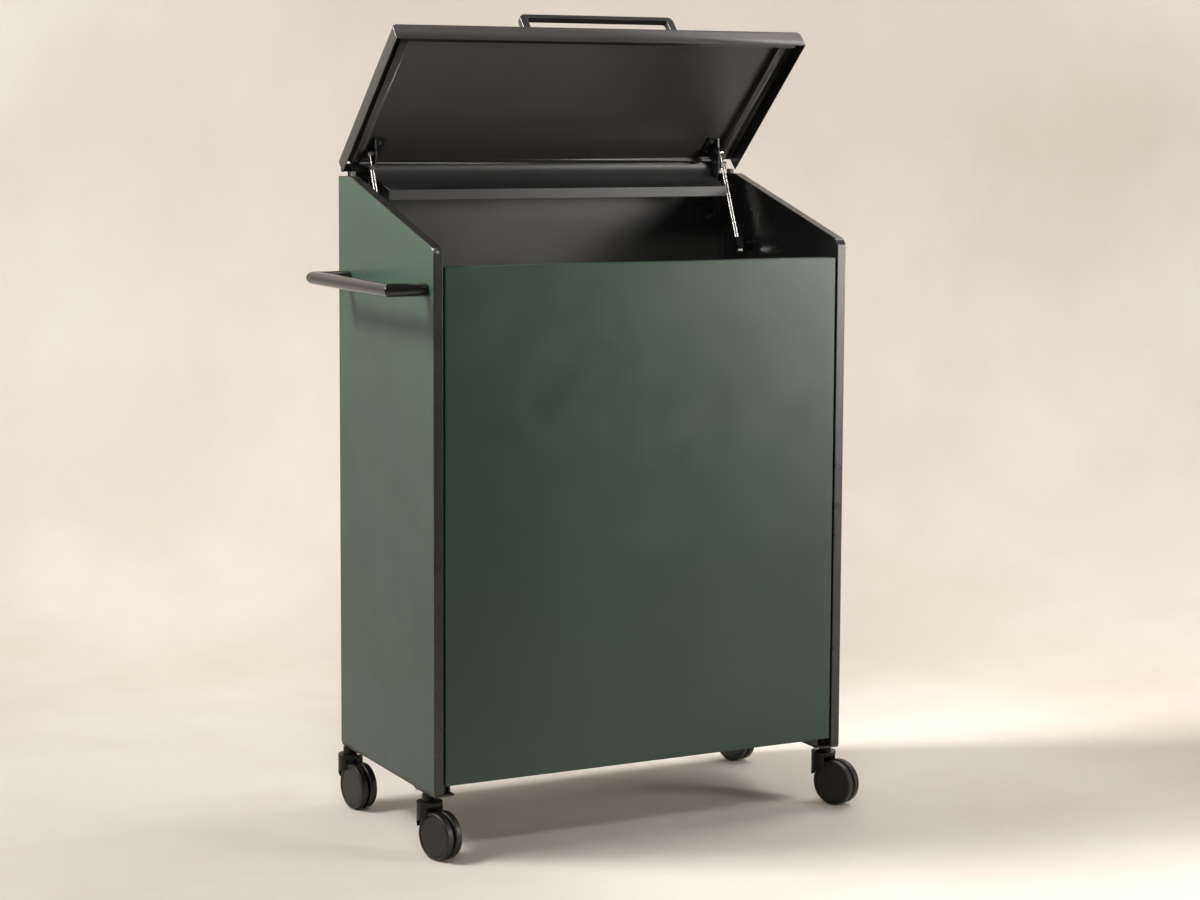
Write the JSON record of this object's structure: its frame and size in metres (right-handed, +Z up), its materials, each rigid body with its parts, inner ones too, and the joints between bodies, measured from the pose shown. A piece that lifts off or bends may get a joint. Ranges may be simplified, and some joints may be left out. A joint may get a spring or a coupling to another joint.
{
  "type": "storage bin",
  "caption": "Tall upright storage bin on swivel casters, with a sloping hinged lid held open by sliding stays, a grip on the lid and a round push handle at its side.",
  "frame": {"origin": "middle of the object's outline on the floor, under the casters", "axes": "+Z up, -Y to the front that the lid opens over, +X to the right seen from the front; the push handle is on the -X side"},
  "size_m": [0.8422, 0.4216, 1.3169],
  "materials": {
    "green_paint": "dark green powder coat, satin",
    "edge_board": "dense board lacquered black, satin",
    "liner_board": "board with a matt black face",
    "dark_steel": "black painted steel rail",
    "black_plastic": "moulded black plastic",
    "grey_rubber": "grey rubber",
    "wheel_plastic": "moulded black wheel",
    "bright_steel": "bright plated steel",
    "plated_steel": "zinc plated steel",
    "strip_plastic": "black moulded strip",
    "black_paint": "black powder coat, satin"
  },
  "bodies": {
    "bin": {"wall_core_left": "edge_board", "wall_core_right": "edge_board", "wall_skin_left": "green_paint", "wall_skin_right": "green_paint", "front_panel": "green_paint", "front_liner": "liner_board", "back_sheet": "black_paint", "floor_board": "liner_board", "top_rail": "black_paint", "base_rail_left": "dark_steel", "base_rail_right": "dark_steel", "cross_rail_front": "dark_steel", "cross_rail_rear": "dark_steel", "push_handle": "black_paint", "handle_bolts": "plated_steel", "hinge_bracket_left": "black_paint", "hinge_bracket_right": "black_paint", "hinge_pins": "plated_steel", "guide_bushes": "black_plastic", "lid_stops": "grey_rubber", "body_screws": "plated_steel", "caster_screws": "plated_steel", "caster_neck_fl": "black_plastic", "caster_neck_fr": "black_plastic", "caster_neck_rl": "black_plastic", "caster_neck_rr": "black_plastic"},
    "guide_left": {"stay_guide_left": "black_plastic"},
    "guide_right": {"stay_guide_right": "black_plastic"},
    "stay_left": {"stay_rods_left": "bright_steel"},
    "stay_right": {"stay_rods_right": "bright_steel"},
    "lid": {"lid_shell": "black_paint", "lid_liner": "black_paint", "lid_strip_left": "strip_plastic", "lid_strip_right": "strip_plastic", "lid_grip": "black_paint", "lid_arm_left": "black_paint", "lid_arm_right": "black_paint", "lid_arm_studs": "plated_steel", "lid_screws": "plated_steel", "lid_buffers": "grey_rubber"},
    "swivel_fl": {"caster_hood_fl": "black_plastic", "caster_axle_fl": "plated_steel"},
    "wheels_fl": {"caster_wheels_fl": "wheel_plastic"},
    "swivel_fr": {"caster_hood_fr": "black_plastic", "caster_axle_fr": "plated_steel"},
    "wheels_fr": {"caster_wheels_fr": "wheel_plastic"},
    "swivel_rl": {"caster_hood_rl": "black_plastic", "caster_axle_rl": "plated_steel"},
    "wheels_rl": {"caster_wheels_rl": "wheel_plastic"},
    "swivel_rr": {"caster_hood_rr": "black_plastic", "caster_axle_rr": "plated_steel"},
    "wheels_rr": {"caster_wheels_rr": "wheel_plastic"}
  },
  "joints": [
    {"name": "lid_hinge", "type": "hinge", "parent": "bin", "child": "lid", "pos_m": [0.02142, 0.1902, 0.97762], "axis": [1, 0, 0], "range_deg": [0, 59.39]},
    {"name": "guide_left_swing", "type": "hinge", "parent": "bin", "child": "guide_left", "pos_m": [-0.30958, 0.10376, 0.9333], "axis": [1, 0, 0], "range_deg": [0, 36.71]},
    {"name": "stay_left_slide", "type": "slide", "parent": "guide_left", "child": "stay_left", "axis": [0, 0.3917, 0.9201], "range_m": [-0.0834, 0]},
    {"name": "guide_right_swing", "type": "hinge", "parent": "bin", "child": "guide_right", "pos_m": [0.35242, 0.10376, 0.9333], "axis": [1, 0, 0], "range_deg": [0, 36.71]},
    {"name": "stay_right_slide", "type": "slide", "parent": "guide_right", "child": "stay_right", "axis": [0, 0.3917, 0.9201], "range_m": [-0.0834, 0]},
    {"name": "swivel_fl_turn", "type": "hinge", "parent": "bin", "child": "swivel_fl", "pos_m": [-0.34108, -0.14525, 0.087], "axis": [0, 0, 1], "continuous": true},
    {"name": "wheels_fl_roll", "type": "hinge", "parent": "swivel_fl", "child": "wheels_fl", "pos_m": [-0.33409, -0.17133, 0.0375], "axis": [0.9659, 0.2588, 0], "continuous": true},
    {"name": "swivel_fr_turn", "type": "hinge", "parent": "bin", "child": "swivel_fr", "pos_m": [0.38392, -0.14525, 0.087], "axis": [0, 0, 1], "continuous": true},
    {"name": "wheels_fr_roll", "type": "hinge", "parent": "swivel_fr", "child": "wheels_fr", "pos_m": [0.39403, -0.17028, 0.0375], "axis": [0.9272, 0.3746, 0], "continuous": true},
    {"name": "swivel_rl_turn", "type": "hinge", "parent": "bin", "child": "swivel_rl", "pos_m": [-0.34108, 0.18776, 0.087], "axis": [0, 0, 1], "continuous": true},
    {"name": "wheels_rl_roll", "type": "hinge", "parent": "swivel_rl", "child": "wheels_rl", "pos_m": [-0.33732, 0.16102, 0.0375], "axis": [0.9903, 0.1392, 0], "continuous": true},
    {"name": "swivel_rr_turn", "type": "hinge", "parent": "bin", "child": "swivel_rr", "pos_m": [0.38392, 0.18776, 0.087], "axis": [0, 0, 1], "continuous": true},
    {"name": "wheels_rr_roll", "type": "hinge", "parent": "swivel_rr", "child": "wheels_rr", "pos_m": [0.39045, 0.16156, 0.0375], "axis": [0.9703, 0.2419, 0], "continuous": true}
  ],
  "couplings": [
    {"joint": "guide_left_swing", "follows": "lid_hinge", "ratio": 0.61796},
    {"joint": "stay_left_slide", "follows": "lid_hinge", "m_per_rad": -0.080438},
    {"joint": "guide_right_swing", "follows": "lid_hinge", "ratio": 0.61796},
    {"joint": "stay_right_slide", "follows": "lid_hinge", "m_per_rad": -0.080438}
  ]
}
